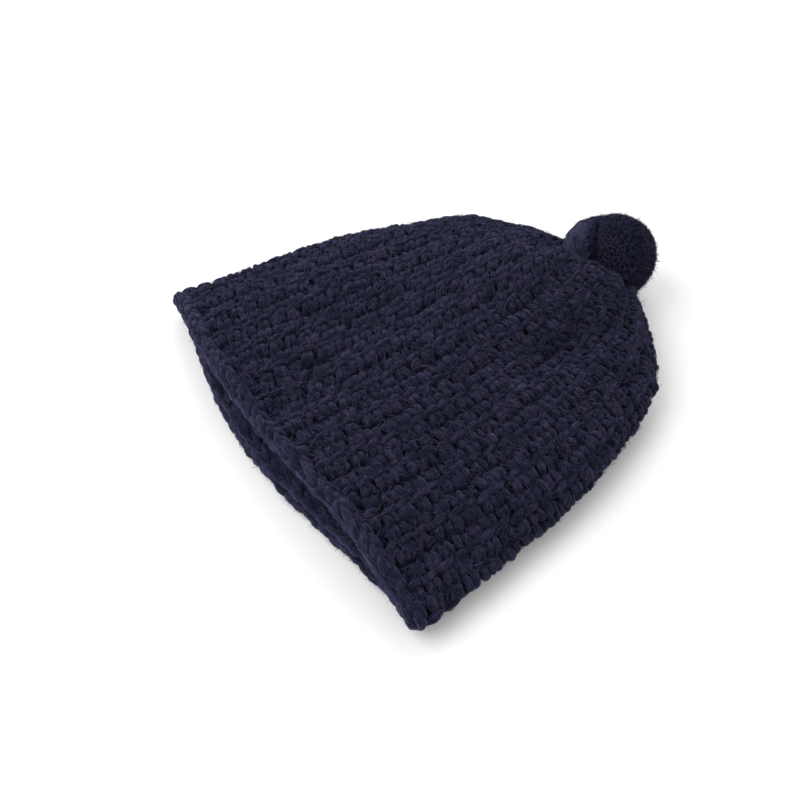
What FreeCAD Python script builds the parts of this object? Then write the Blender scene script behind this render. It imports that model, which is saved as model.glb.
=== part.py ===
import FreeCAD, Part
import math
import os

# A crocheted pom pom beanie lying flat on its back, in millimetres.
# +Y runs from the hem to the crown, +X across the hat, +Z up from the surface that it lies on.
# Lengths along the hat, called y below, start at the corners of the hem.

# Hat, outer shape
HALF_WIDTH = 120.0          # centre line to the folded side, at the hem
DEPTH = 210.0               # hem corners to the end of the crown
TAPER = 0.14                # share of the width lost over the whole depth
SIDE_POWER = 4.6            # how suddenly the sides close in at the crown
END_POWER = 14.0            # how suddenly the top and bottom close in at the crown
HEM_HEIGHT = 28.5           # both layers with the open mouth between them
CROWN_RISE = 20.0           # extra height where the crown is gathered
CROWN_TILT = 9.0            # how far the crown's shoulder at +X lifts, and the one at -X sinks
FOLD_HEIGHT = 10.6          # middle of the folded side above the surface
FOLD_LIFT = 8.0             # how far that middle climbs at the crown
SIDE_ROUND = 0.9            # spread of the section towards the folded sides
TOP_ROUND = 1.3             # roundness of the top
TOP_PEAK = 2.0              # how much more the top peaks at the crown
BACK_ROUND = 0.8            # roundness of the back, which lies flat
BACK_DIP = 1.5              # depth trimmed off the back to leave a true flat

# Fabric
WALL = 6.0                  # thickness of the ribbed crochet
UPPER_LIP = 5.5             # how far the upper hem bows out
UPPER_LIP_X = -27.0         # where it bows out most
LOWER_LIP = 15.0            # how far the lower hem bows out
LOWER_LIP_X = -8.0
LIP_REACH = 110.0           # from the middle of a bow to where it has faded out
LIP_FLAT = 2.6              # flatness of its middle
LIP_FADE = 3.4              # how suddenly it fades
LIP_MARGIN = 5.0            # the bows are set this far below and above the fabric
EDGING_WIDTH = 6.5          # plain crocheted band round the mouth
CAVITY_END = 178.0          # depth of the space for the head
CAVITY_CLOSE = 14.0         # extra fabric in the gathers behind that space

# Pompom
POMPOM_RADIUS = 25.4
POMPOM_X = 6.0
POMPOM_Y = 211.0
TETHER_REACH = 25.0         # gather to the middle of the pompom
FLOP = 25.0                 # degrees that the pompom tips up over the crown
SEAT_GAP = 0.6              # clearance between the pile and the gathered crown

# Yarn pieces
SEAM_WIDTH = 4.4
SEAM_DEPTH = (1.0, 6.6)     # lower and upper side of the seam in the back layer
SEAM_END = 166.0            # the seam stops short of the gathers
DRAWSTRING_RING = 8.5
DRAWSTRING_YARN = 1.5
DRAWSTRING_DROP = 3.0       # middle of the ring below the gather
KNOT_RADIUS = 4.5
KNOT_SUNK = 1.0             # how far the knot is pulled into the gathers
STRAND_YARN = 1.2           # each of the two strands between the knot and the link
STRAND_SPACING = 6.0
LINK_YARN = 1.4             # bend of the strands, which the tether hangs on
LINK_LENGTH = 7.6
TETHER_LOOP = (1.7, 3.0)    # inner and outer radius of the tether's loop round the link
TETHER_LOOP_WIDTH = 2.8
TETHER_YARN = 1.5
YARN_GAP = 0.3
STEM_GAP = 0.4              # from the hole of the tether's loop to the stem
GATHER_HOLLOW = 3.7         # radius of the hollow at the bottom of the gathers
PILE_HOLLOW = 5.0           # radius of the parting of the pile at the tether
TIE_RING = 4.0
TIE_YARN = 1.4

# The origin is under the middle of the whole object.
ORIGIN_Y = (POMPOM_Y + POMPOM_RADIUS - LOWER_LIP) / 2

POMPOM_CENTRE = FreeCAD.Vector(POMPOM_X, POMPOM_Y, POMPOM_RADIUS)
GATHER = POMPOM_CENTRE - FreeCAD.Vector(0, TETHER_REACH, 0)
ALONG = FreeCAD.Vector(0, 1, 0)
ACROSS = FreeCAD.Vector(1, 0, 0)

SECTION_POINTS = 32
HEM_POINTS = 24
HEM_MARGIN = 1.0            # the hem line runs past the folded sides by this much
MOUTH_FRONT = -60.0         # everything from here to the hem line is open
SEAT_STEPS = 5
OUTER_STATIONS = (-30, 0, 45, 90, 125, 150, 168, 182, 192, 199, 204, 207.5)
INNER_STATIONS = (-32, 0, 45, 90, 125, 150, 166, CAVITY_END)


def signed_power(value, power):
    return math.copysign(abs(value) ** power, value)


def section(y, depth_y, inset):
    """Closed outline of the flattened tube at y, shaped as the hat is at depth_y."""
    t = max(depth_y, 0.0) / DEPTH
    ends = math.sqrt(1 - t ** END_POWER)
    half_width = HALF_WIDTH * (1 - TAPER * t) * math.sqrt(1 - t ** SIDE_POWER) - inset
    fold = FOLD_HEIGHT + FOLD_LIFT * t ** 6
    rise = (HEM_HEIGHT + CROWN_RISE * t * t - fold) * ends - inset
    drop = (fold + BACK_DIP) * ends - inset
    points = []
    for i in range(SECTION_POINTS):
        angle = 2 * math.pi * i / SECTION_POINTS
        side, up = math.cos(angle), math.sin(angle)
        share = signed_power(side, SIDE_ROUND)
        above = rise * up ** (TOP_ROUND + TOP_PEAK * t ** 6) if up > 0 else 0.0
        below = drop * (-up) ** BACK_ROUND if up < 0 else 0.0
        tilt = CROWN_TILT * t ** 4 * share
        points.append(FreeCAD.Vector(half_width * share, y, fold + above - below + tilt))
    curve = Part.BSplineCurve()
    curve.interpolate(Points=points, PeriodicFlag=True)
    return Part.Wire([curve.toShape()])


def outer_form():
    form = Part.makeLoft([section(y, y, 0.0) for y in OUTER_STATIONS], True, False)
    under = Part.makeBox(400, 400, 50, FreeCAD.Vector(-200, -100, -50))
    return form.cut(under)


def inner_form():
    wires = []
    for y in INNER_STATIONS:
        closing = CAVITY_CLOSE * (max(y, 0.0) / CAVITY_END) ** 8
        wires.append(section(y, y + closing, WALL))
    return Part.makeLoft(wires, True, False)


def hem_edge(z, lip, lip_x, shift):
    """The hem's bowed line at one height, from its left end to its right end."""
    end = HALF_WIDTH + HEM_MARGIN
    points = []
    for i in range(HEM_POINTS + 1):
        x = -end + 2 * end * i / HEM_POINTS
        away = abs(x - lip_x) / LIP_REACH
        bow = lip * max(1 - away ** LIP_FLAT, 0.0) ** LIP_FADE
        points.append(FreeCAD.Vector(x, shift - bow, z))
    curve = Part.BSplineCurve()
    curve.interpolate(Points=points)
    return curve.toShape(), points[0], points[-1]


def mouth_block(shift):
    """Everything in front of the hem line, moved up the hat by shift."""
    wires = []
    lower = (-LIP_MARGIN, LOWER_LIP, LOWER_LIP_X)
    upper = (HEM_HEIGHT + LIP_MARGIN, UPPER_LIP, UPPER_LIP_X)
    for z, lip, lip_x in (lower, upper):
        edge, left, right = hem_edge(z, lip, lip_x, shift)
        front_left = FreeCAD.Vector(left.x, MOUTH_FRONT, z)
        front_right = FreeCAD.Vector(right.x, MOUTH_FRONT, z)
        wires.append(Part.Wire([
            edge,
            Part.makeLine(right, front_right),
            Part.makeLine(front_right, front_left),
            Part.makeLine(front_left, left),
        ]))
    return Part.makeLoft(wires, True, True)


def pompom_seat():
    """The hollow that the pompom needs in the crown while it tips up by FLOP."""
    balls = [Part.makeSphere(GATHER_HOLLOW, GATHER)]
    for i in range(SEAT_STEPS + 1):
        angle = math.radians((FLOP + 1) * i / SEAT_STEPS)
        reach = FreeCAD.Vector(0, math.cos(angle), math.sin(angle)) * TETHER_REACH
        balls.append(Part.makeSphere(POMPOM_RADIUS + SEAT_GAP, GATHER + reach))
    return balls


def yarn_along(radius, y_from, y_to, side=0.0):
    """A straight yarn along Y, level with the gather."""
    start = FreeCAD.Vector(GATHER.x + side, y_from, GATHER.z)
    return Part.makeCylinder(radius, y_to - y_from, start, ALONG)


def yarn_across(radius, length):
    """A straight yarn along X through the gather, which the pompom tips about."""
    return Part.makeCylinder(radius, length, GATHER - ACROSS * (length / 2), ACROSS)


def seam_strip():
    low, high = SEAM_DEPTH
    start = FreeCAD.Vector(-SEAM_WIDTH / 2, -LOWER_LIP, low)
    return Part.makeBox(SEAM_WIDTH, SEAM_END - start.y, high - low, start)


def drawstring_ring():
    centre = FreeCAD.Vector(GATHER.x, CAVITY_END, GATHER.z - DRAWSTRING_DROP)
    return Part.makeTorus(DRAWSTRING_RING, DRAWSTRING_YARN, centre, ALONG)


def anchor():
    """The knot inside the crown, and its two strands, which pass out through the gather and join."""
    knot_centre = FreeCAD.Vector(GATHER.x, CAVITY_END - KNOT_RADIUS + KNOT_SUNK, GATHER.z)
    beyond = Part.makeBox(40, 40, 40, FreeCAD.Vector(GATHER.x - 20, CAVITY_END, GATHER.z - 20))
    shape = Part.makeSphere(KNOT_RADIUS, knot_centre).cut(beyond)
    for side in (-STRAND_SPACING / 2, STRAND_SPACING / 2):
        shape = shape.fuse(yarn_along(STRAND_YARN, knot_centre.y, GATHER.y, side))
    return shape.fuse(yarn_across(LINK_YARN, LINK_LENGTH)).removeSplitter()


def pompom_pieces():
    """The tether, the tie round the middle of the pile, and the pile with room for both."""
    loop_inner, loop_outer = TETHER_LOOP
    tie_near = POMPOM_Y - TIE_RING - TIE_YARN
    stem = yarn_along(TETHER_YARN, GATHER.y + loop_inner + STEM_GAP, tie_near - YARN_GAP)
    loop = yarn_across(loop_outer, TETHER_LOOP_WIDTH).cut(yarn_across(loop_inner, TETHER_LOOP_WIDTH))
    tether = loop.fuse(stem).removeSplitter()
    tie = Part.makeTorus(TIE_RING, TIE_YARN, POMPOM_CENTRE, ACROSS)
    bore = yarn_along(TETHER_YARN + YARN_GAP, GATHER.y, tie_near + TIE_YARN)
    parting = Part.makeSphere(PILE_HOLLOW, GATHER)
    pile = Part.makeSphere(POMPOM_RADIUS, POMPOM_CENTRE).cut(parting).cut(bore).cut(tie)
    return tether, tie, pile


outer = outer_form()
fabric = outer.cut(inner_form()).cut(mouth_block(0.0))
edging_zone = mouth_block(EDGING_WIDTH)
hem_edging = fabric.common(edging_zone)
crochet_panel = fabric.cut(edging_zone)
for ball in pompom_seat():
    crochet_panel = crochet_panel.cut(ball)

back_seam = seam_strip().cut(edging_zone)
crown_drawstring = drawstring_ring()
crown_anchor = anchor()
for piece in (back_seam, crown_drawstring, crown_anchor):
    crochet_panel = crochet_panel.cut(piece)
pompom_tether, pompom_tie, pompom_pile = pompom_pieces()

parts = {
    "crochet_panel": crochet_panel,
    "hem_edging": hem_edging,
    "back_seam": back_seam,
    "crown_drawstring": crown_drawstring,
    "crown_anchor": crown_anchor,
    "pompom_tether": pompom_tether,
    "pompom_tie": pompom_tie,
    "pompom_pile": pompom_pile,
}

os.makedirs("parts", exist_ok=True)
for name, shape in parts.items():
    solids = shape.Solids
    if len(solids) != 1 or not shape.isValid():
        raise ValueError(name + " is not one valid solid")
    solid = solids[0]
    solid.translate(FreeCAD.Vector(0, -ORIGIN_Y, 0))
    solid.exportStep("parts/" + name + ".step")
    box = solid.optimalBoundingBox(True, False)
    print(name, round(solid.Volume / 1000, 2), "cm3",
          [round(v, 2) for v in (box.XMin, box.XMax, box.YMin, box.YMax, box.ZMin, box.ZMax)])
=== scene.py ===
import math

import bmesh
import bpy
import numpy as np
from mathutils import Matrix, Vector


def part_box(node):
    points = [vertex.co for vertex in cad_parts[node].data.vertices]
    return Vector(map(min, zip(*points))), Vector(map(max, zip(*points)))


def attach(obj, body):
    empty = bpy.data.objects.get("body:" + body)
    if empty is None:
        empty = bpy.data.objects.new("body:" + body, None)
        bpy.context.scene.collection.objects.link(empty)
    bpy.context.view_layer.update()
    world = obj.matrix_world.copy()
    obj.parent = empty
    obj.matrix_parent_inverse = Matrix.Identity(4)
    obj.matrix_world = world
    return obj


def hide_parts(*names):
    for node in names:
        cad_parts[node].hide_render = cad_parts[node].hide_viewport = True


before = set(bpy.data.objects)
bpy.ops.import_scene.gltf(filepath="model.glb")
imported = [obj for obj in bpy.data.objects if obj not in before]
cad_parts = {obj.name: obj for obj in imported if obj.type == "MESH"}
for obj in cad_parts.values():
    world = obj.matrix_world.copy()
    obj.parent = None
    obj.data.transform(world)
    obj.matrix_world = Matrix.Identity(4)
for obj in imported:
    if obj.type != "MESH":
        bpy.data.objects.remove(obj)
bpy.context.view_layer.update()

# A crocheted pom pom beanie, built stitch by stitch over the flattened form of the hat.
# Lengths are in metres, many of them written as a number of MM. +Y runs from hem to crown, +Z is up.
# A place in the fabric is (around, level): the share of the way round the hat from the middle of
# its back, and the number of stitches from the hem. The lift is the height above that place.

rng = np.random.default_rng(7)
MM = 0.001
X, Y, Z = np.eye(3)


def node_box(name):
    return tuple(np.array(corner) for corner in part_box(name))


# Pompom, from the frame
ball_low, ball_high = node_box("pompom_pile")
ball_radius = (ball_high[2] - ball_low[2]) / 2
ball_centre = np.array([(ball_low[0] + ball_high[0]) / 2, ball_high[1] - ball_radius, ball_radius])

# Hat form, the same as the CAD form
HALF_WIDTH = 120 * MM
DEPTH = 210 * MM
TAPER, SIDE_POWER, END_POWER = 0.14, 4.6, 14.0
HEM_HEIGHT = 28.5 * MM
CROWN_RISE = 20 * MM
CROWN_TILT = 9 * MM
FOLD_HEIGHT = 10.6 * MM
FOLD_LIFT = 8 * MM
SIDE_ROUND, TOP_ROUND, TOP_PEAK, BACK_ROUND = 0.9, 1.3, 2.0, 0.8
BACK_DIP = 1.5 * MM
UPPER_LIP, UPPER_LIP_X = 5.5 * MM, -27 * MM
LOWER_LIP, LOWER_LIP_X = 15 * MM, -8 * MM
LIP_REACH, LIP_FLAT, LIP_FADE, LIP_MARGIN = 110 * MM, 2.6, 3.4, 5 * MM
WALL = 6 * MM
hem_y = ball_centre[1] - 211 * MM          # the line through the corners of the hem

# Crochet
RIBS = 28                   # ridges round the hat, two rows each
STITCHES = 24               # levels from the hem to the gather
PITCH = 8.3 * MM            # length of a stitch
YARN = 2.2 * MM             # radius of the yarn
CREST = 3.1 * MM            # how far the tops of the stitches stand above the form
FIBRE_LEVEL = 1.7 * MM      # where the laid fibres come out of the stitches, above the form
FLOOR = 0.05 * MM           # nothing goes lower
EDGING = 6.5 * MM           # width of the plain band round the mouth
CROWN_SINK = 0.75           # how far the fibres sink as the yarn gets finer, in radii of the yarn

# Fibres
FIBRE = 0.11 * MM           # radius of the fibres on the yarn
LOOSE_FIBRE = 0.10 * MM     # radius of those that stand away from the stitches
PILE_FIBRE = 0.12 * MM      # radius of those on the cut ends of the pompom
FIBRE_SIDES = 3
FIBRE_RINGS = 3
FIBRE_STEPS = np.array([0.0, 0.35, 0.7, 1.0])       # the rings and the tip, as shares of the length
YARN_FIBRES = 330           # on each sort of loop in a ridge
LAID_FIBRES = 820           # over each ridge
STANDING_FIBRES = 300       # out of each ridge
BAND_FIBRES = 2400          # on each row of the band round the mouth
LOOSE_BAND_FIBRES = 2700    # out of every three rows of it
LOBE_FIBRES = 3200          # on the laid strands of the pompom

# Pompom
CUT_ENDS = 5600
LOBE_STRANDS = 900
PILE_MARGIN = 0.9 * MM      # the fibres reach this far past the ends of the pile
CORE_INSET = 1.6 * MM       # depth of the solid body under the ends

COLUMNS = 480               # the form's grid
LEVELS = 320
PATH_POINTS = 600
COLUMN_SMOOTHING = 40       # passes, to round the way over the crown's rim
SEAT = ball_radius + 3.0 * MM       # the gathered crown lies round the pompom at this radius
GATHER_ANGLE = 0.11         # half the angle of the gather, seen from the pompom's centre
CLOTH_COLUMNS = 240
CLOTH_TOP, CLOTH_BOTTOM = -1.2 * MM, -2.7 * MM      # lifts of the plain cloth behind the stitches
NOISE_WIDTH = 40            # each yarn takes its own patch of the strand noise, within this width


# ---------------------------------------------------------------- form of the fabric
def section_points(t, inset):
    """An outline of the flattened tube at depth share t, evenly spaced round it from the back's middle."""
    ends = math.sqrt(1 - t ** END_POWER)
    width = HALF_WIDTH * (1 - TAPER * t) * math.sqrt(1 - t ** SIDE_POWER) - inset
    fold = FOLD_HEIGHT + FOLD_LIFT * t ** 6
    rise = (HEM_HEIGHT + CROWN_RISE * t * t - fold) * ends - inset
    drop = (fold + BACK_DIP) * ends - inset
    angle = np.linspace(-math.pi / 2, 1.5 * math.pi, 721)
    side, up = np.cos(angle), np.sin(angle)
    share = np.sign(side) * np.abs(side) ** SIDE_ROUND
    above = rise * np.abs(up) ** (TOP_ROUND + TOP_PEAK * t ** 6)
    below = drop * np.abs(up) ** BACK_ROUND
    x = max(width, 0.0) * share
    z = fold + np.where(up > 0, above, -below) + CROWN_TILT * t ** 4 * share
    z = np.maximum(z, inset * 0.8)
    length = np.concatenate([[0], np.cumsum(np.hypot(np.diff(x), np.diff(z)))])
    even = np.linspace(0, length[-1], COLUMNS + 1)
    return np.interp(even, length, x), np.interp(even, length, z)


def hem_bow(x, z):
    """How far the hem bows out in front of its corners."""
    height = np.clip((z + LIP_MARGIN) / (HEM_HEIGHT + 2 * LIP_MARGIN), 0, 1)
    middle = LOWER_LIP_X + (UPPER_LIP_X - LOWER_LIP_X) * height
    lip = LOWER_LIP + (UPPER_LIP - LOWER_LIP) * height
    away = np.abs(x - middle) / LIP_REACH
    return lip * np.clip(1 - away ** LIP_FLAT, 0, 1) ** LIP_FADE


def form_grid(inset):
    """The form as a grid of points, each column running from the hem to the end of the crown."""
    stations = np.concatenate([np.linspace(0, 0.9, 150), np.linspace(0.905, 0.9996, 120)])
    bow = hem_bow(*section_points(0.0, inset))
    grid = np.zeros((len(stations), COLUMNS + 1, 3))
    for row, t in zip(grid, stations):
        row[:, 0], row[:, 2] = section_points(t, inset)
        row[:, 1] = hem_y + t * DEPTH - bow * (1 - t) ** 3
    return grid


def evenly(path, count):
    """The same path with its points evenly spaced, and its length."""
    length = np.concatenate([[0], np.cumsum(np.linalg.norm(np.diff(path, axis=0), axis=1))])
    even = np.linspace(0, length[-1], count)
    return np.stack([np.interp(even, length, path[:, k]) for k in range(3)], 1), length[-1]


def smooth(path, passes):
    """The path with its bends rounded, in place."""
    for _ in range(passes):
        path[1:-1] = (path[:-2] + 2 * path[1:-1] + path[2:]) / 4
    return path


def column_to_gather(column):
    """A column goes up the hat, over the crown's rim and down round the pompom to the gather."""
    inside = np.linalg.norm(column - ball_centre, axis=1) < SEAT
    stop = int(np.argmax(inside)) if inside.any() else len(column)
    rim = column[stop - 1] - ball_centre
    rim = rim / np.linalg.norm(rim)
    turn = math.acos(np.clip(-rim[1], -1, 1))
    shares = np.linspace(0, 1 - GATHER_ANGLE / max(turn, 0.2), 40)[1:]
    arc = [(math.sin((1 - s) * turn) * rim - math.sin(s * turn) * Y) / math.sin(turn) for s in shares]
    path, _ = evenly(np.concatenate([column[:stop], ball_centre + SEAT * np.array(arc)]), PATH_POINTS)
    return evenly(smooth(path, COLUMN_SMOOTHING), LEVELS)


# Places where the hat as it lies departs from the plain form: the middle of each, how far it is moved
# there, and how far around it that reaches. In MM, with Y from the line through the hem's corners.
HEAPS = (
    ((45, 141, 36), (0, 0, -6.0), (20, 16, 20)),        # valley that the gathers draw in the crown
    ((44, 150, 38), (0, 0, -4.0), (9, 18, 14)),         # the same valley, narrower and further up
    ((-17, 191, 33), (-1.0, -2.0, -6.5), (10, 10, 10)),  # dip beside the pompom
    ((-94, 137, 13), (0.5, -0.5, -1.5), (15, 15, 15)),  # far side, below its shoulder
    ((-68, 172, 18), (-1.0, 1.0, 2.2), (14, 12, 14)),   # far shoulder
    ((78, 174, 17), (2.1, 2.1, 0), (14, 14, 14)),       # near shoulder
    ((116, 20, 10), (1.0, 0, 0), (14, 24, 14)),         # near corner
    ((64, -6, 6), (0, -2.0, 0), (16, 10, 12)),          # lower lip
)


class Form:
    """The fabric's middle surface: positions and outward normals at (around, level)."""

    def __init__(self, inset):
        columns = [column_to_gather(column) for column in np.swapaxes(form_grid(inset), 0, 1)]
        self.points = np.stack([points for points, _ in columns], 1)
        self.points[:, -1] = self.points[:, 0]
        self.lengths = np.array([length for _, length in columns])
        for centre, shift, spread in HEAPS:
            away = (self.points - (np.array(centre) * MM + hem_y * Y)) / (np.array(spread) * MM)
            self.points += np.exp(-(away ** 2).sum(2) / 2)[..., None] * np.array(shift) * MM
        self.find_normals()
        self.girth = np.linalg.norm(np.diff(self.points, axis=1), axis=2).sum(1)

    def find_normals(self):
        """Normals that point out of the hat, from the directions along and between the columns."""
        up_column = np.gradient(self.points, axis=0)
        wrapped = np.concatenate([self.points[:, -2:-1], self.points, self.points[:, 1:2]], 1)
        normal = np.cross(up_column, wrapped[:, 2:] - wrapped[:, :-2])
        normal /= np.linalg.norm(normal, axis=2, keepdims=True) + 1e-12
        self.normals = normal if normal[20, COLUMNS // 2, 2] > 0 else -normal

    def sample(self, table, around, level):
        """Values from a table over the grid, blended between its four nearest points."""
        u = (np.asarray(around) % 1.0) * COLUMNS
        v = np.clip(np.asarray(level) / STITCHES * (LEVELS - 1), 0, LEVELS - 1.001)
        i, j = u.astype(int), v.astype(int)
        fu, fv = (u - i)[..., None], (v - j)[..., None]
        low = table[j, i] * (1 - fu) + table[j, i + 1] * fu
        high = table[j + 1, i] * (1 - fu) + table[j + 1, i + 1] * fu
        return low * (1 - fv) + high * fv

    def place(self, around, level, lift):
        """Points at a height above the surface, and the normals there."""
        p = self.sample(self.points, around, level)
        n = self.sample(self.normals, around, level)
        n /= np.linalg.norm(n, axis=-1, keepdims=True) + 1e-12
        return p + n * np.asarray(lift)[..., None], n

    def length(self, around):
        """The way from the hem to the gather."""
        return np.interp(np.asarray(around) % 1.0, np.linspace(0, 1, COLUMNS + 1), self.lengths)

    def narrowing(self, level):
        """The girth's share of the hem's."""
        v = np.clip(np.asarray(level) / STITCHES * (LEVELS - 1), 0, LEVELS - 1)
        return np.interp(v, np.arange(LEVELS), self.girth / self.girth[0])

    def yarn_size(self, level):
        """How much finer the yarn is drawn where the gathers crowd it."""
        return np.clip(self.narrowing(level), 0.4, 1.0) ** 0.6


form = Form(CREST)          # the tops of the stitches then reach the outline of the hat


def top_share(around):
    """1 on the upper layer, fading to 0 round the folded sides."""
    return np.clip(0.6 - 2 * np.cos(np.asarray(around) * 2 * math.pi), 0, 1)


def waves(around, level):
    """Slow rise and fall of the cloth, and the pleats that the gathers make in the crown."""
    turn = np.asarray(around) * 2 * math.pi
    slow = (0.8 * np.sin(3 * turn + 0.23 * level + 0.6) + 0.7 * np.sin(5 * turn - 0.31 * level + 2.0)
            + 0.5 * np.sin(9 * turn + 0.5 * level))
    gathered = np.clip((level - 15) / 6, 0, 1)
    pleats = 1.2 * np.sin(RIBS / 2 * turn + 0.8) + 0.8 * np.sin(11 * turn + 2.2 + 0.15 * level)
    return (slow * top_share(around) + pleats * gathered) * MM


# ---------------------------------------------------------------- meshes
WAVE_COUNT = 7
wave_lines = rng.normal(0, 1, (WAVE_COUNT, 3))
wave_lines /= np.linalg.norm(wave_lines, axis=1, keepdims=True)
wave_starts = rng.uniform(0, 2 * math.pi, WAVE_COUNT)


def unevenness(points, size):
    """A random field, mostly from -1 to 1, that changes over about size."""
    return np.sin(points @ (wave_lines.T * (2 * math.pi / size)) + wave_starts).sum(-1) / 2


def unit(vectors):
    return vectors / (np.linalg.norm(vectors, axis=-1, keepdims=True) + 1e-12)


def make_object(name, vertices, quads, triangles, uv):
    """A smooth shaded object, kept above the floor."""
    vertices = np.array(vertices, dtype=np.float32)
    vertices[:, 2] = np.maximum(vertices[:, 2], FLOOR)
    mesh = bpy.data.meshes.new(name)
    corners = np.concatenate([quads.ravel(), triangles.ravel()]).astype(np.int32)
    sizes = np.repeat(np.array([4, 3], dtype=np.int32), [len(quads), len(triangles)])
    mesh.vertices.add(len(vertices))
    mesh.vertices.foreach_set("co", vertices.ravel())
    mesh.loops.add(len(corners))
    mesh.loops.foreach_set("vertex_index", corners)
    mesh.polygons.add(len(sizes))
    starts = np.concatenate([[0], np.cumsum(sizes)[:-1]]).astype(np.int32)
    mesh.polygons.foreach_set("loop_start", starts)
    mesh.polygons.foreach_set("loop_total", sizes)
    layer = mesh.uv_layers.new(name="yarn")
    layer.data.foreach_set("uv", np.asarray(uv, dtype=np.float32)[corners].ravel())
    mesh.update(calc_edges=True)
    mesh.validate()
    mesh.polygons.foreach_set("use_smooth", np.ones(len(sizes), dtype=bool))
    obj = bpy.data.objects.new(name, mesh)
    bpy.context.scene.collection.objects.link(obj)
    return obj


def path_frames(paths, normals):
    """Directions along many centre lines at once, across them, and up from the form."""
    tangent = unit(np.gradient(paths, axis=1))
    across = unit(np.cross(tangent, normals))
    return tangent, across, np.cross(across, tangent)


def tube_mesh(paths, normals, radii, sides):
    """Closed tubes of uneven thickness along many centre lines at once. paths is (tubes, rings, 3)."""
    tubes, rings = paths.shape[:2]
    tangent, across, up = path_frames(paths, normals)
    angle = np.linspace(0, 2 * math.pi, sides, endpoint=False)
    ring = across[:, :, None] * np.cos(angle)[:, None] + up[:, :, None] * np.sin(angle)[:, None]
    body = paths[:, :, None] + ring * radii[:, :, None, None]
    rough = 0.07 * unevenness(body, 4.5 * MM) + 0.06 * unevenness(body, 2.0 * MM)
    body += ring * (rough * radii[:, :, None])[..., None]
    ends = np.stack([paths[:, 0] - tangent[:, 0] * radii[:, 0, None] * 0.6,
                     paths[:, -1] + tangent[:, -1] * radii[:, -1, None] * 0.6], 1)
    step = np.linalg.norm(np.diff(paths, axis=1), axis=2)
    along = np.concatenate([np.zeros((tubes, 1)), np.cumsum(step, 1)], 1)
    along = along + rng.uniform(0, NOISE_WIDTH, (tubes, 1))
    girth = np.abs(angle - math.pi) / math.pi * 3 * YARN + rng.uniform(0, NOISE_WIDTH, (tubes, 1, 1))
    uv_body = np.stack(np.broadcast_arrays(along[:, :, None], girth), 3)
    uv_ends = np.stack([along[:, [0, -1]], np.repeat(girth[:, :, 0], 2, 1)], 2)
    vertices = np.concatenate([body.reshape(tubes, -1, 3), ends], 1)
    uv = np.concatenate([uv_body.reshape(tubes, -1, 2), uv_ends], 1)
    r, s = np.arange(rings - 1)[:, None], np.arange(sides)[None, :]
    after = (s + 1) % sides
    quads = np.stack([r * sides + s, r * sides + after, (r + 1) * sides + after, (r + 1) * sides + s], 2)
    start = np.full(sides, rings * sides)
    end = start + 1
    top = (rings - 1) * sides
    triangles = np.concatenate([np.stack([start, after[0], s[0]], 1),
                                np.stack([end, top + s[0], top + after[0]], 1)])
    offset = np.arange(tubes)[:, None, None] * (rings * sides + 2)
    return (vertices.reshape(-1, 3), (quads.reshape(1, -1, 4) + offset).reshape(-1, 4),
            (triangles[None] + offset).reshape(-1, 3), uv.reshape(-1, 2))


def joined(parts):
    """Several (vertices, quads, triangles, uv) as one."""
    starts = np.cumsum([0] + [len(vertices) for vertices, _, _, _ in parts])
    return (np.concatenate([p[0] for p in parts]),
            np.concatenate([p[1] + start for p, start in zip(parts, starts)]),
            np.concatenate([p[2] + start for p, start in zip(parts, starts)]),
            np.concatenate([p[3] for p in parts]))


def tubes_object(name, strands):
    """One object from several sets of tubes, each (paths, normals, radii, sides)."""
    return make_object(name, *joined([tube_mesh(*strand) for strand in strands]))


def add_piece(obj, body, node, material):
    """Gives an object its material and its body, and hides the CAD node that it stands for."""
    obj.data.materials.append(material)
    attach(obj, body)
    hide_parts(node)
    return obj


def fibre_mesh(paths, thickness):
    """Closed fine spikes along many centre lines at once. paths is (fibres, FIBRE_RINGS + 1, 3)."""
    count = len(paths)
    direction = unit(paths[:, -1] - paths[:, 0])
    side = unit(np.cross(direction, rng.normal(0, 1, (count, 3))))
    other = np.cross(direction, side)
    angle = np.arange(FIBRE_SIDES) * 2 * math.pi / FIBRE_SIDES
    ring = side[:, None] * np.cos(angle)[:, None] + other[:, None] * np.sin(angle)[:, None]
    size = thickness * np.array([0.6, 1.0, 0.8])        # at each ring
    rings = paths[:, :FIBRE_RINGS, None] + ring[:, None] * size[:, None, None]
    vertices = np.concatenate([rings.reshape(count, -1, 3), paths[:, -1:]], 1)
    per_fibre = FIBRE_RINGS * FIBRE_SIDES + 1
    offset = np.arange(count)[:, None, None] * per_fibre
    around = np.arange(FIBRE_SIDES)
    after = (around + 1) % FIBRE_SIDES
    walls = [np.stack([r * FIBRE_SIDES + around, r * FIBRE_SIDES + after,
                       (r + 1) * FIBRE_SIDES + after, (r + 1) * FIBRE_SIDES + around], 1)
             for r in range(FIBRE_RINGS - 1)]
    last = (FIBRE_RINGS - 1) * FIBRE_SIDES
    tip = np.stack([last + around, last + after, np.full(FIBRE_SIDES, per_fibre - 1)], 1)
    quads = np.concatenate(walls)[None] + offset
    triangles = np.concatenate([tip, around[None, ::-1]])[None] + offset
    uv = np.repeat(rng.uniform(0, NOISE_WIDTH, (count, 1, 2)), per_fibre, 1)
    return vertices.reshape(-1, 3), quads.reshape(-1, 4), triangles.reshape(-1, 3), uv.reshape(-1, 2)


def loose_fibres(roots, normals, lengths, spread, thickness):
    """Curved fibres that stand away from the yarn."""
    count = len(roots)
    direction = unit(normals * rng.uniform(0.0, 0.7, (count, 1)) + rng.normal(0, spread, (count, 3)))
    bend = rng.normal(0, 0.45, (count, 3)) * lengths[:, None]
    s = FIBRE_STEPS[:, None]
    paths = roots[:, None] + direction[:, None] * lengths[:, None, None] * s + bend[:, None] * s ** 2
    return fibre_mesh(paths, thickness)


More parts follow.
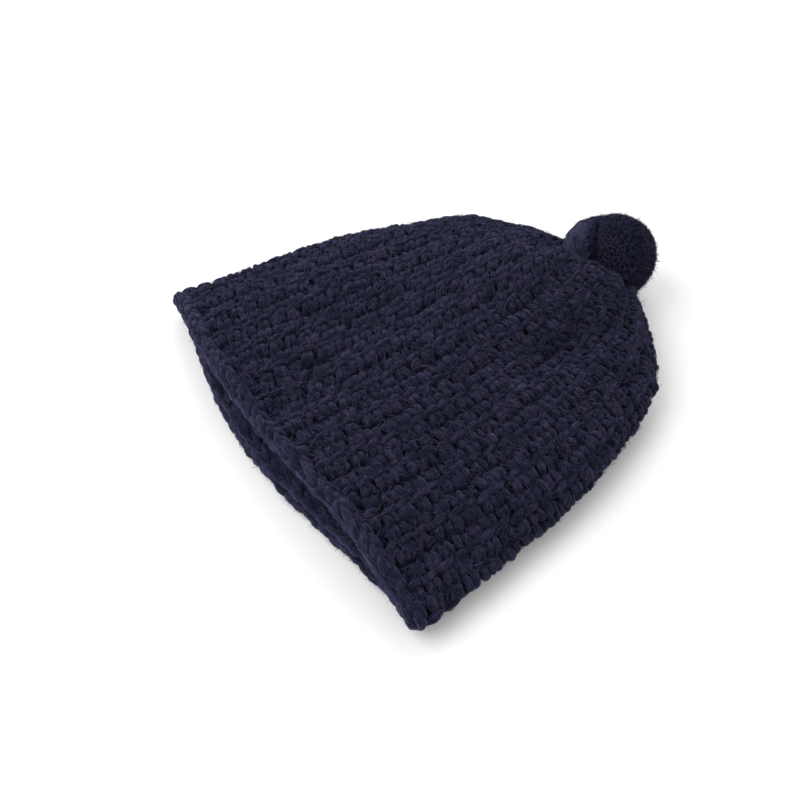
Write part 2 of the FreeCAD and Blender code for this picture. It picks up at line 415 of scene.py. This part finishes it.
def yarn_fibres(strand, count, thickness, wander=0.6):
    """Fibres that wind along the outer side of the yarn and come away from it at their tips.

    A wander of 2 or more puts them all round the yarn.
    """
    paths, normals, radii, _ = strand
    _, across, up = path_frames(paths, normals)
    tubes, rings = paths.shape[:2]
    tube = rng.integers(0, tubes, (count, 1))
    s = FIBRE_STEPS[None, :]
    at = rng.uniform(0, 0.55, (count, 1)) + rng.uniform(0.25, 0.45, (count, 1)) * s
    at = np.where(rng.uniform(0, 1, (count, 1)) < 0.5, at, 1 - at) * (rings - 1)
    low = np.clip(at.astype(int), 0, rings - 2)
    part = at - low

    def along(table):
        share = part.reshape(part.shape + (1,) * (table.ndim - 2))
        return table[tube, low] * (1 - share) + table[tube, low + 1] * share

    turn = rng.normal(0, wander, (count, 1)) + rng.normal(0.2, 0.4, (count, 1)) * s
    loose = rng.gamma(1.0, 0.14, (count, 1)) * s ** 2
    reach = along(radii) * (0.94 + 0.10 * np.sin(math.pi * s) + loose)
    out = along(up) * np.cos(turn)[..., None] + along(across) * np.sin(turn)[..., None]
    return fibre_mesh(along(paths) + out * reach[..., None], thickness)


def laid_fibres(around, level, heading, lengths, thickness):
    """Fibres that rise out of the stitches and curve over them, from places in the fabric.

    A heading of 0 points up the hat, and a quarter turn points round it.
    """
    count = len(around)
    s = FIBRE_STEPS[None, :]
    turned = heading[:, None] + rng.normal(0, 1.1, (count, 1)) * s
    up_hat = lengths[:, None] * s * np.cos(turned)
    round_hat = lengths[:, None] * s * np.sin(turned)
    around = around[:, None] + round_hat / (form.girth[0] * form.narrowing(level)[:, None])
    level = level[:, None] + up_hat / form.length(around[:, :1]) * STITCHES
    level = np.clip(level, 0.1, STITCHES - 0.1)
    rise = rng.uniform(0.6, 1.6, (count, 1)) * np.sin(0.85 * math.pi * s)
    rise = rise + rng.normal(0, 0.5, (count, 1)) * s
    rise *= 0.15 + 0.85 * top_share(around)
    lift = FIBRE_LEVEL + rise * MM - CROWN_SINK * (1 - form.yarn_size(level)) * YARN
    paths, _ = form.place(around, level, lift + waves(around, level))
    return fibre_mesh(paths, thickness)


# ---------------------------------------------------------------- material
def noise(nodes, scale, detail):
    """A noise texture node."""
    texture = nodes.new("ShaderNodeTexNoise")
    texture.inputs["Scale"].default_value = scale
    texture.inputs["Detail"].default_value = detail
    return texture


def colour_ramp(nodes, low, low_colour, high, high_colour):
    """A node that turns values from low to high into colours between two."""
    ramp = nodes.new("ShaderNodeValToRGB")
    first, last = ramp.color_ramp.elements
    first.position = low
    first.color = (*low_colour, 1)
    last.position = high
    last.color = (*high_colour, 1)
    return ramp


def wool_shade(nodes, links, strands, dark, light, brightest):
    """The colour of the fibres, tinted in slow clouds, with painted shade from an occlusion node that
    darkens the hollows between the stitches.
    """
    place = nodes.new("ShaderNodeTexCoord")
    patches = noise(nodes, 420.0, 4.0)
    mix = nodes.new("ShaderNodeMix")
    mix.data_type = "FLOAT"
    mix.inputs["Factor"].default_value = 0.4
    shades = colour_ramp(nodes, 0.40, dark, brightest, light)
    clouds = noise(nodes, 120.0, 4.0)
    tint = colour_ramp(nodes, 0.38, (0.42, 0.54, 0.62), 0.62, (1.45, 1.30, 1.36))
    tinted = nodes.new("ShaderNodeMix")
    tinted.data_type = "RGBA"
    tinted.blend_type = "MULTIPLY"
    tinted.inputs["Factor"].default_value = 1.0
    # Painted shade: ambient occlusion darkens the colour in the hollows between the stitches.
    painted_pit_shade = nodes.new("ShaderNodeAmbientOcclusion")
    painted_pit_shade.samples = 6
    painted_pit_shade.inputs["Distance"].default_value = 5.0 * MM
    links.new(place.outputs["Object"], patches.inputs["Vector"])
    links.new(strands.outputs["Fac"], mix.inputs["A"])
    links.new(patches.outputs["Fac"], mix.inputs["B"])
    links.new(mix.outputs["Result"], shades.inputs["Fac"])
    links.new(place.outputs["Object"], clouds.inputs["Vector"])
    links.new(clouds.outputs["Fac"], tint.inputs["Fac"])
    links.new(shades.outputs["Color"], tinted.inputs["A"])
    links.new(tint.outputs["Color"], tinted.inputs["B"])
    links.new(tinted.outputs["Result"], painted_pit_shade.inputs["Color"])
    return painted_pit_shade.outputs["Color"]


def wool(name, dark, light, fineness=1.0, brightest=0.64, sheen=0.14):
    """Matte wool: fibres that run along the yarn, in slightly different shades, with a soft sheen.

    The light shade is reached where the noise is at brightest.
    """
    material = bpy.data.materials.new(name)
    material.use_nodes = True
    nodes, links = material.node_tree.nodes, material.node_tree.links
    shader = nodes["Principled BSDF"]
    shader.inputs["Roughness"].default_value = 0.95
    shader.inputs["Specular IOR Level"].default_value = 0.12
    shader.inputs["Sheen Weight"].default_value = sheen
    shader.inputs["Sheen Roughness"].default_value = 0.5
    shader.inputs["Sheen Tint"].default_value = (0.44, 0.44, 0.90, 1.0)
    uv = nodes.new("ShaderNodeUVMap")
    uv.uv_map = "yarn"
    stretch = nodes.new("ShaderNodeMapping")
    stretch.inputs["Scale"].default_value = (150 * fineness, 800 * fineness, 1.0)
    stretch.inputs["Rotation"].default_value = (0, 0, 0.5)
    strands = noise(nodes, 1.0, 5.0)
    strands.inputs["Roughness"].default_value = 0.65
    bump = nodes.new("ShaderNodeBump")
    bump.inputs["Strength"].default_value = 1.0
    bump.inputs["Distance"].default_value = 0.8 * MM
    links.new(uv.outputs["UV"], stretch.inputs["Vector"])
    links.new(stretch.outputs["Vector"], strands.inputs["Vector"])
    shade = wool_shade(nodes, links, strands, dark, light, brightest)
    links.new(shade, shader.inputs["Base Color"])
    links.new(strands.outputs["Fac"], bump.inputs["Height"])
    links.new(bump.outputs["Normal"], shader.inputs["Normal"])
    return material


yarn_wool = wool("navy_wool_yarn", dark=(0.0019, 0.0023, 0.0084), light=(0.0260, 0.0270, 0.0620))
# Painted light: the band round the mouth is a slightly lighter copy of the same navy wool, standing in for
# the light on the hem's rim.
lit_edging_wool = wool("navy_wool_edging_painted_light", dark=(0.0024, 0.0029, 0.0095), light=(0.0280, 0.0290, 0.0660),
                   sheen=0.25)
# Painted shade: the cut pile and its core are a darker copy of the same navy wool, standing in for the shade
# on the pompom.
shaded_pile_wool = wool("navy_wool_pile_painted_shade", dark=(0.0010, 0.0013, 0.0051), light=(0.0176, 0.0186, 0.0480),
                 fineness=1.5, sheen=0.22)
# Painted light: the laid strands of the near lobe are a lighter copy of the same navy wool, standing in for
# the light on that side of the pompom.
lit_lobe_wool = wool("navy_wool_lobe_painted_light", dark=(0.0021, 0.0024, 0.0078), light=(0.0340, 0.0355, 0.0780),
                 fineness=1.5, sheen=0.28)
# Painted light: the fibres are a much lighter copy of the same navy wool, standing in for the light that
# catches and shines through the fuzz.
lit_fibre_wool = wool("navy_wool_fibres_painted_light", dark=(0.0034, 0.0038, 0.0110), light=(0.0960, 0.0985, 0.1740),
                  brightest=0.72, sheen=0.34)


# ---------------------------------------------------------------- ribs
def jitter(size, count):
    """A random shift for each loop."""
    return rng.normal(0, size, (count, 1))


def stitch_strand(around, level, lift, radius, sides):
    """Yarn over the form, drawn finer where the gathers crowd it."""
    points, normals = form.place(around, level, lift + waves(around, level))
    return points, normals, radius * form.yarn_size(level), sides


def row_drift(level):
    """The rows don't run quite straight up the hat: this is how far round they start from where they end."""
    return 0.018 * np.clip(1 - level / 12, 0, 1) ** 2


def inside_strands(middle, base, size):
    """The inner side of a rib's lowest third, which can be seen through the mouth."""
    inner = len(base) // 3
    s = np.linspace(0, 1, 9)[None, :]
    arch = np.sin(math.pi * s)
    strands = []
    for side in (-1, 1):
        level = base[:inner] + size * (0.5 * (side > 0) + (s - 0.5) * 0.5 * side)
        around = middle[:inner] + side * (0.05 + 0.4 * s) / RIBS + row_drift(level)
        lift = -WALL + YARN * (0.6 - 0.4 * arch) + jitter(0.2 * MM, inner)
        strands.append(stitch_strand(around, level, lift, YARN * np.ones((inner, s.size)), 6))
    return strands


def rib_strands(k):
    """The yarn of one rib, which is two rows back to back, as sets of loops.

    Slanted loops make the low ridge in its middle, pairs of legs spread from it on both sides, and
    sunk loops lie along its border with the next rib.
    """
    middle = (k + 0.5) / RIBS
    length = float(form.length(middle))
    count = int(round((length - EDGING) / PITCH))
    first = 0.85 * EDGING / length * STITCHES
    size = (STITCHES - 0.3 - first) / count
    s = np.linspace(0, 1, 9)[None, :]
    arch = np.sin(math.pi * s)
    base = first + size * (np.arange(count)[:, None] + 0.5) + size * jitter(0.06, count)
    middle = middle + 0.07 / RIBS * np.sin(base * 0.9 + 2.3 * k) + jitter(0.015, count) / RIBS
    puff = jitter(0.32 * MM, count)

    def strand(around, level, lift, radius):
        level = base + size * level
        return stitch_strand(middle + around / RIBS + row_drift(level), level, lift + puff, radius, 8)

    around = (s - 0.5) * (0.16 + jitter(0.03, count)) + jitter(0.012, count)
    level = (s - 0.5) * (1.32 + jitter(0.06, count))
    lift = 0.9 * MM + YARN * (0.85 * arch ** 0.8 - 0.75) + jitter(0.25 * MM, count)
    radius = YARN * (0.52 + 0.36 * arch ** 0.6) * (1 + jitter(0.10, count))
    strands = [strand(around, level, lift, radius)]
    for side in (-1, 1):
        half = 0.5 * (side > 0)
        fat = 1 + jitter(0.06, count)
        for leg in (-1, 1):
            around = side * (0.05 + (0.46 + jitter(0.02, count)) * s) + jitter(0.015, count)
            level = half + leg * (0.13 + 0.13 * s) + (0.26 + jitter(0.07, count)) * s * side
            level = level + jitter(0.035, count)
            lift = YARN * (1.15 * np.sin(math.pi * (0.10 + 0.84 * s)) - 0.87) + jitter(0.18 * MM, count)
            radius = YARN * (0.60 + 0.36 * arch ** 0.9) * fat * (1 + jitter(0.08, count))
            strands.append(strand(around, level, lift, radius))
    lift = YARN * (0.55 * arch - 1.15) + jitter(0.15 * MM, count)
    radius = YARN * (0.5 + 0.2 * arch) * (1 + jitter(0.08, count))
    strands.append(strand(0.5 + 0.10 * (s - 0.5), 0.3 + (s - 0.5) * 1.15, lift, radius))
    return strands + inside_strands(middle, base, size)


def outward_roots(strands, count, scatter=0.55):
    """Random places on the side of the yarn that faces out, for loose fibres."""
    paths, normals, radii = (np.concatenate([strand[i].reshape(-1, *strand[i].shape[2:])
                                             for strand in strands]) for i in range(3))
    pick = rng.integers(0, len(paths), count)
    facing = unit(normals[pick] + rng.normal(0, scatter, (count, 3)))
    return paths[pick] + facing * radii[pick][:, None] * 0.92, facing


def fibres_over(first, count):
    """Fibres that lie over the stitches of some ridges, most of them along the ridges."""
    total = LAID_FIBRES * count
    level = rng.uniform(0.8, STITCHES - 0.4, total)
    ridge = first + rng.integers(0, count, total) + 0.5
    around = (ridge + rng.normal(0, 0.27, total)) / RIBS + row_drift(level)
    heading = rng.normal(0, 0.8, total) + math.pi * rng.integers(0, 2, total)
    return laid_fibres(around, level, heading, rng.gamma(5.0, 0.8 * MM, total) + 1.2 * MM, FIBRE)


# The first six sets of a rib face out of the hat, and all but the sunk one bear loose fibres.
for first in range(0, RIBS, 2):
    fuzz = [fibres_over(first, 2)]
    for k in (first, first + 1):
        strands = rib_strands(k)
        rib = tubes_object(f"rib_{k:02d}", strands)
        add_piece(rib, "hat", "crochet_panel", yarn_wool)
        fuzz += [yarn_fibres(strand, YARN_FIBRES, FIBRE) for strand in strands[:6]]
        roots, facing = outward_roots(strands[:5], STANDING_FIBRES)
        lengths = np.minimum(rng.gamma(3.0, 0.6 * MM, STANDING_FIBRES) + 0.6 * MM, 3.4 * MM)
        fuzz.append(loose_fibres(roots, facing, lengths, 0.6, LOOSE_FIBRE))
    fibres = make_object(f"fibres_{first:02d}", *joined(fuzz))
    add_piece(fibres, "hat", "crochet_panel", lit_fibre_wool)


# ---------------------------------------------------------------- cloth behind the stitches
def shell_mesh(levels, top, bottom):
    """A closed cloth between two lifts, open at the hem and drawn together at the gather."""
    columns = CLOTH_COLUMNS
    around = np.arange(columns) / columns
    rows = []
    for lift, order in ((top, levels), (bottom, levels[::-1])):
        for level in order:
            rows.append(form.place(around, np.full(columns, level), lift + waves(around, level))[0])
    vertices = np.array(rows).reshape(-1, 3)
    count = len(rows)
    j, i = np.arange(count)[:, None], np.arange(columns)[None, :]
    j2, i2 = (j + 1) % count, (i + 1) % columns
    quads = np.stack([j * columns + i, j * columns + i2, j2 * columns + i2, j2 * columns + i], 2)
    return vertices, quads.reshape(-1, 4), np.zeros((0, 3), dtype=int), vertices[:, [1, 0]]


cloth_levels = np.concatenate([np.linspace(0.25, 16, 60), np.linspace(16.2, STITCHES - 0.02, 60)])
cloth = make_object("cloth_behind_stitches", *shell_mesh(cloth_levels, CLOTH_TOP, CLOTH_BOTTOM))
add_piece(cloth, "hat", "crochet_panel", yarn_wool)


# ---------------------------------------------------------------- hem edging
def edging_place(around, back, lift):
    """Points on the band round the mouth, at a distance behind the hem's edge."""
    level = np.maximum(back, 0.0) / form.length(around) * STITCHES
    points, normals = form.place(around, level, lift + waves(around, level))
    points[..., 1] += np.minimum(back, 0.0)
    return points, normals


# Rows of the band, from its outside over the rim to its inside, and then three more within them:
# distance back and lift in MM, and slant.
EDGING_ROWS = (
    (5.2, 0.2, -1.1),
    (2.7, 0.3, 1.1),
    (0.8, -1.5, -0.4),
    (0.8, -3.7, 0.4),
    (2.6, -5.3, -0.8),
    (5.2, -5.5, 0.9),
    (1.8, -7.6, 0.7),
    (5.0, -7.9, -0.9),
    (8.4, -7.4, 1.0),
)


def edging_strands():
    """Loops that chain along the band in rows, each row leaning against the one before."""
    loops = 72
    s = np.linspace(0, 1, 10)[None, :]
    arch = np.sin(math.pi * s)
    strands = []
    for row, (back, lift, slant) in enumerate(EDGING_ROWS):
        start = (np.arange(loops)[:, None] + 0.5 * (row % 2) + jitter(0.08, loops)) / loops
        around = start + (s - 0.5) * (1.45 + jitter(0.12, loops)) / loops
        shift = (s - 0.5) * slant * 2.2 * MM + jitter(0.4 * MM, loops)
        points, normals = edging_place(around, back * MM + shift,
                                       lift * MM + 0.7 * MM * arch + jitter(0.4 * MM, loops))
        radius = YARN * (0.40 + 0.46 * arch ** 0.8) * (1 + jitter(0.12, loops))
        strands.append((points, normals, radius, 7))
    return strands


strands = edging_strands()
edging = tubes_object("hem_edging_loops", strands)
add_piece(edging, "hat", "hem_edging", lit_edging_wool)
for part in range(3):
    rows = strands[part::3]
    roots, facing = outward_roots(rows, LOOSE_BAND_FIBRES, 1.5)
    lengths = np.minimum(rng.gamma(3.0, 0.5 * MM, LOOSE_BAND_FIBRES), 1.7 * MM) + 0.5 * MM
    fuzz = [yarn_fibres(strand, BAND_FIBRES, FIBRE, 2.4) for strand in rows]
    fuzz.append(loose_fibres(roots, facing, lengths, 0.75, LOOSE_FIBRE))
    fibres = make_object(f"edging_fibres_{part}", *joined(fuzz))
    add_piece(fibres, "hat", "hem_edging", lit_fibre_wool)


# ---------------------------------------------------------------- seam on the back
def seam_strands():
    """Short stitches across the seam, one above the other."""
    count = 40
    s = np.linspace(0, 1, 8)[None, :]
    level = np.linspace(1.0, STITCHES - 3.0, count)[:, None] + (s - 0.5) * 0.75
    around = (s - 0.5) * 5.5 * MM / form.girth[0] + jitter(0.0005, count)
    lift = YARN * 0.5 * np.sin(math.pi * s) - 0.6 * MM + np.zeros((count, 1))
    return [stitch_strand(around, level, lift, YARN * 0.7 * np.ones((count, s.size)), 7)]


seam = tubes_object("back_seam_stitches", seam_strands())
add_piece(seam, "hat", "back_seam", yarn_wool)


# ---------------------------------------------------------------- yarn inside the crown
def ring_path(centre, radius, axis_a, axis_b, turns, points, wobble=0.0):
    """A coil in the plane of two axes."""
    t = np.linspace(0, turns * 2 * math.pi, points)[:, None]
    return centre + radius * (1 + wobble * np.sin(5 * t)) * (np.cos(t) * axis_a + np.sin(t) * axis_b)


def single_yarn(name, path, radius, body, node):
    """One yarn along a path, as a piece."""
    path = np.asarray(path)[None]
    normals = np.broadcast_to(np.array([0.13, 0.2, 0.97]), path.shape)      # nearly up, off every axis
    yarn = tubes_object(name, [(path, normals, np.full(path.shape[:2], radius), 8)])
    return add_piece(yarn, body, node, yarn_wool)


string_low, string_high = node_box("crown_drawstring")
string_radius = (string_high[0] - string_low[0]) / 2 - 1.5 * MM
string_path = ring_path((string_low + string_high) / 2, string_radius, X, Z, 1.02, 60, 0.03)
single_yarn("drawstring", string_path, 1.3 * MM, "hat", "crown_drawstring")

anchor_low, anchor_high = node_box("crown_anchor")
gather = np.array([ball_centre[0], anchor_high[1] - 1.4 * MM, ball_centre[2]])
knot_centre = np.array([gather[0], anchor_low[1] + 4.5 * MM, gather[2]])
t = np.linspace(0, 2 * math.pi, 90)
knot_path = np.stack([np.sin(t) + 0.35 * np.sin(2 * t + 1), np.cos(3 * t) * 0.5,
                      np.cos(t) - 0.5 * np.cos(2 * t)], 1)
single_yarn("crown_knot", knot_centre + 2.7 * MM * knot_path, 1.2 * MM, "hat", "crown_anchor")
bend = np.array([[-3, -9, 0], [-3, -4, 0], [-3, -1.2, 0], [-1.8, 0, 0], [0, 0.1, 0],
                 [1.8, 0, 0], [3, -1.2, 0], [3, -4, 0], [3, -9, 0]]) * MM
single_yarn("crown_strands", gather + bend, 1.1 * MM, "hat", "crown_anchor")

loop_path = ring_path(gather, 2.3 * MM, Y, Z, 1.0, 30)
single_yarn("tether_loop", loop_path, 0.6 * MM, "tether", "pompom_tether")
stem_end = np.array([gather[0], node_box("pompom_tether")[1][1] - 0.4 * MM, gather[2]])
stem_path = np.linspace(gather + Y * 2.4 * MM, stem_end, 8)
single_yarn("tether_stem", stem_path, 1.3 * MM, "tether", "pompom_tether")
tie_path = ring_path(ball_centre, 4 * MM, Y, Z, 3.0, 90, 0.04)
single_yarn("pile_tie", tie_path, 1.15 * MM, "pompom", "pompom_tie")


# ---------------------------------------------------------------- pompom
def pointing(x, y, z):
    """The direction as a unit vector."""
    direction = np.array([x, y, z])
    return direction / np.linalg.norm(direction)


# Directions from the middle of the pompom
parting = pointing(0.755, 0.400, 0.520)        # across the crease where the pile parts into two lobes
trimmed_side = pointing(-0.65, 0.45, 0.61)     # the pile is cut a little flatter here
crown_side = pointing(-0.78, -0.57, 0.25)      # and it swells over the crown here


def even_directions(count):
    """Directions spread evenly over a ball, along a spiral from its top."""
    i = np.arange(count) + 0.5
    z = 1 - 2 * i / count
    turn = math.pi * (1 + 5 ** 0.5) * i
    flat = np.sqrt(1 - z * z)
    return np.stack([np.cos(turn) * flat, np.sin(turn) * flat, z], 1)


def pile_radius(direction):
    """Length of the trimmed pile in a direction: a ball with a parting, a flatter side and dents."""
    away = direction @ parting + 0.035 * unevenness(direction, 0.7)
    near_crown = np.clip((-direction[:, 1] - 0.02) * 3.2, 0, 1)
    near_crown = near_crown * np.clip(direction[:, 2] * 3 + 0.4, 0, 1)
    width = np.where(away < 0, 0.06, 0.19)
    crease = 8.5 * MM * np.exp(-(away / width) ** 2) * near_crown
    trimmed = 1.5 * MM * np.clip((direction @ trimmed_side - 0.45) / 0.55, 0, 1) ** 1.5
    swelling = 1.4 * MM * np.clip((direction @ crown_side - 0.6) / 0.4, 0, 1)
    dents = 0.42 * MM * unevenness(direction, 1.9)
    return ball_radius - PILE_MARGIN - crease - trimmed + swelling + dents


def pile_body(name, inset):
    """The pile as one solid, at a depth below its trimmed ends."""
    mesh = bpy.data.meshes.new(name)
    ball = bmesh.new()
    bmesh.ops.create_icosphere(ball, subdivisions=5, radius=1.0)
    ball.to_mesh(mesh)
    ball.free()
    flat = np.zeros(len(mesh.vertices) * 3)
    mesh.vertices.foreach_get("co", flat)
    direction = unit(flat.reshape(-1, 3))
    points = ball_centre + direction * (pile_radius(direction) - inset)[:, None]
    triangles = np.zeros(len(mesh.loops), dtype=np.int32)
    mesh.loops.foreach_get("vertex_index", triangles)
    bpy.data.meshes.remove(mesh)
    back = np.arccos(np.clip(-direction[:, 1], -1, 1))
    uv = np.stack([back, np.arctan2(direction[:, 2], direction[:, 0])], 1) * ball_radius
    return make_object(name, points, np.zeros((0, 4), dtype=int), triangles.reshape(-1, 3), uv)


core = pile_body("pile_core", CORE_INSET)
add_piece(core, "pompom", "pompom_pile", shaded_pile_wool)


def cut_ends(count):
    """Yarn ends that stand on the ball and lean away from the parting."""
    direction = unit(even_directions(count) + rng.normal(0, 0.02, (count, 3)))
    away = direction @ parting
    lean = rng.normal(0, 0.22, (count, 3))
    lean += (np.sign(away) * np.exp(-(away / 0.2) ** 2) * 0.35)[:, None] * parting
    length = (pile_radius(direction) + rng.normal(0, 0.22 * MM, count))[:, None]
    s = np.linspace(0, 1, 3)[None, :, None]
    root = direction * (length - 3.6 * MM)
    tip = unit(direction + lean * 0.15) * length
    path = ball_centre + root[:, None] + (tip - root)[:, None] * s
    side = unit(np.cross(direction, rng.normal(0, 1, (count, 3))))
    radius = np.array([1.0, 1.0, 0.62]) * rng.uniform(0.42, 0.66, (count, 1)) * MM
    return path, np.broadcast_to(side[:, None], path.shape), radius, 5


def laid_strands(count):
    """Strands of the near lobe, laid along the ball from the gather, with ends of uneven length."""
    start = unit(rng.normal(0, 0.10, (count, 3)) - 0.95 * Y + 0.35 * Z)
    target = unit(even_directions(4 * count) + rng.normal(0, 0.03, (4 * count, 3)))
    away = target @ parting
    edge = rng.normal(0, 0.16, (2, len(target)))
    near = (away < -0.02) & (target[:, 1] > -0.97)
    near &= (target[:, 1] < edge[0] + 0.1) & (target[:, 2] > edge[1])
    target = target[near][:count]
    start = start[:len(target)]
    steps = np.linspace(0, 1, 8)
    s = (0.45 + 0.55 * steps[None, :, None]) * rng.uniform(0.84, 1.0, (len(target), 1, 1))
    direction = unit(start[:, None] * (1 - s) + target[:, None] * s)
    tuck = 1.6 * MM * steps ** 5
    rise = 0.25 * MM + rng.normal(0, 0.38 * MM, (len(target), 1)) - 1.4 * MM * (s[..., 0] - 1) ** 2
    length = pile_radius(direction.reshape(-1, 3)).reshape(direction.shape[:2]) + rise - tuck
    path = ball_centre + direction * length[..., None]
    radius = np.linspace(0.55, 0.85, 8) * rng.uniform(0.6, 0.95, (len(target), 1)) * MM
    return path, direction, radius, 5


ends = cut_ends(CUT_ENDS)
laid = laid_strands(LOBE_STRANDS)
tufts = tubes_object("pile_ends", [ends])
add_piece(tufts, "pompom", "pompom_pile", shaded_pile_wool)
lobe = tubes_object("pile_strands", [laid])
add_piece(lobe, "pompom", "pompom_pile", lit_lobe_wool)

pile_places = np.repeat(ends[0][:, -1], 2, 0)
pile_facing = unit(pile_places - ball_centre)
pile_lengths = rng.gamma(2.0, 0.4 * MM, len(pile_places)) + 0.3 * MM
pile_mesh = loose_fibres(pile_places, pile_facing, pile_lengths, 0.5, PILE_FIBRE)
add_piece(make_object("pile_fibres", *pile_mesh), "pompom", "pompom_pile", lit_fibre_wool)
lobe_mesh = yarn_fibres(laid, LOBE_FIBRES, FIBRE)
add_piece(make_object("lobe_fibres", *lobe_mesh), "pompom", "pompom_pile", lit_fibre_wool)


# ---------------------------------------------------------------- stage
FLOOR_HALF = 6.0            # half the floor's width
SKY_STRENGTH = 0.74
LENS = 38.25                # focal length in millimetres, on a sensor of SENSOR millimetres
SENSOR = 36.0
CAMERA_X, CAMERA_Y, CAMERA_Z = 0.2328, -0.08738, 0.35134       # Y is from the hem's corner line
CAMERA_BACK = Vector((0.50682, -0.34953, 0.78801))
CAMERA_RIGHT = Vector((0.56773, 0.82321, 0.0))


def area_light(name, place, target, size, power):
    """A square light that faces its target."""
    light = bpy.data.lights.new(name, "AREA")
    light.energy = power
    light.size = size
    obj = bpy.data.objects.new(name, light)
    obj.location = place
    obj.rotation_euler = (Vector(target) - Vector(place)).to_track_quat("-Z", "Y").to_euler()
    bpy.context.scene.collection.objects.link(obj)


floor_mesh = bpy.data.meshes.new("floor")
floor_corners = [(x * FLOOR_HALF, y * FLOOR_HALF, 0) for x, y in ((-1, -1), (1, -1), (1, 1), (-1, 1))]
floor_mesh.from_pydata(floor_corners, [], [(0, 1, 2, 3)])
floor = bpy.data.objects.new("floor", floor_mesh)
bpy.context.scene.collection.objects.link(floor)
floor_material = bpy.data.materials.new("white_table")
floor_material.use_nodes = True
floor_shader = floor_material.node_tree.nodes["Principled BSDF"]
floor_shader.inputs["Base Color"].default_value = (0.95, 0.95, 0.95, 1)
floor_shader.inputs["Roughness"].default_value = 0.9
floor_shader.inputs["Specular IOR Level"].default_value = 0.1
floor.data.materials.append(floor_material)

world = bpy.data.worlds.new("studio")
world.use_nodes = True
world.node_tree.nodes["Background"].inputs["Color"].default_value = (1, 1, 1, 1)
world.node_tree.nodes["Background"].inputs["Strength"].default_value = SKY_STRENGTH
bpy.context.scene.world = world
area_light("key", (-0.55, -0.75, 0.95), (0, 0, 0.02), size=1.2, power=11.5)
area_light("back", (-0.75, 0.7, 0.75), (0, 0.05, 0.02), size=0.9, power=6.5)
bpy.context.scene.view_settings.view_transform = "Standard"

camera_data = bpy.data.cameras.new("camera")
camera_data.lens = LENS
camera_data.sensor_width = SENSOR
camera_data.clip_start = 0.01
camera = bpy.data.objects.new("camera", camera_data)
camera_up = CAMERA_BACK.cross(CAMERA_RIGHT)
camera.matrix_world = Matrix((
    (CAMERA_RIGHT.x, camera_up.x, CAMERA_BACK.x, CAMERA_X),
    (CAMERA_RIGHT.y, camera_up.y, CAMERA_BACK.y, CAMERA_Y + hem_y),
    (CAMERA_RIGHT.z, camera_up.z, CAMERA_BACK.z, CAMERA_Z),
    (0, 0, 0, 1),
))
bpy.context.scene.collection.objects.link(camera)
bpy.context.scene.camera = camera
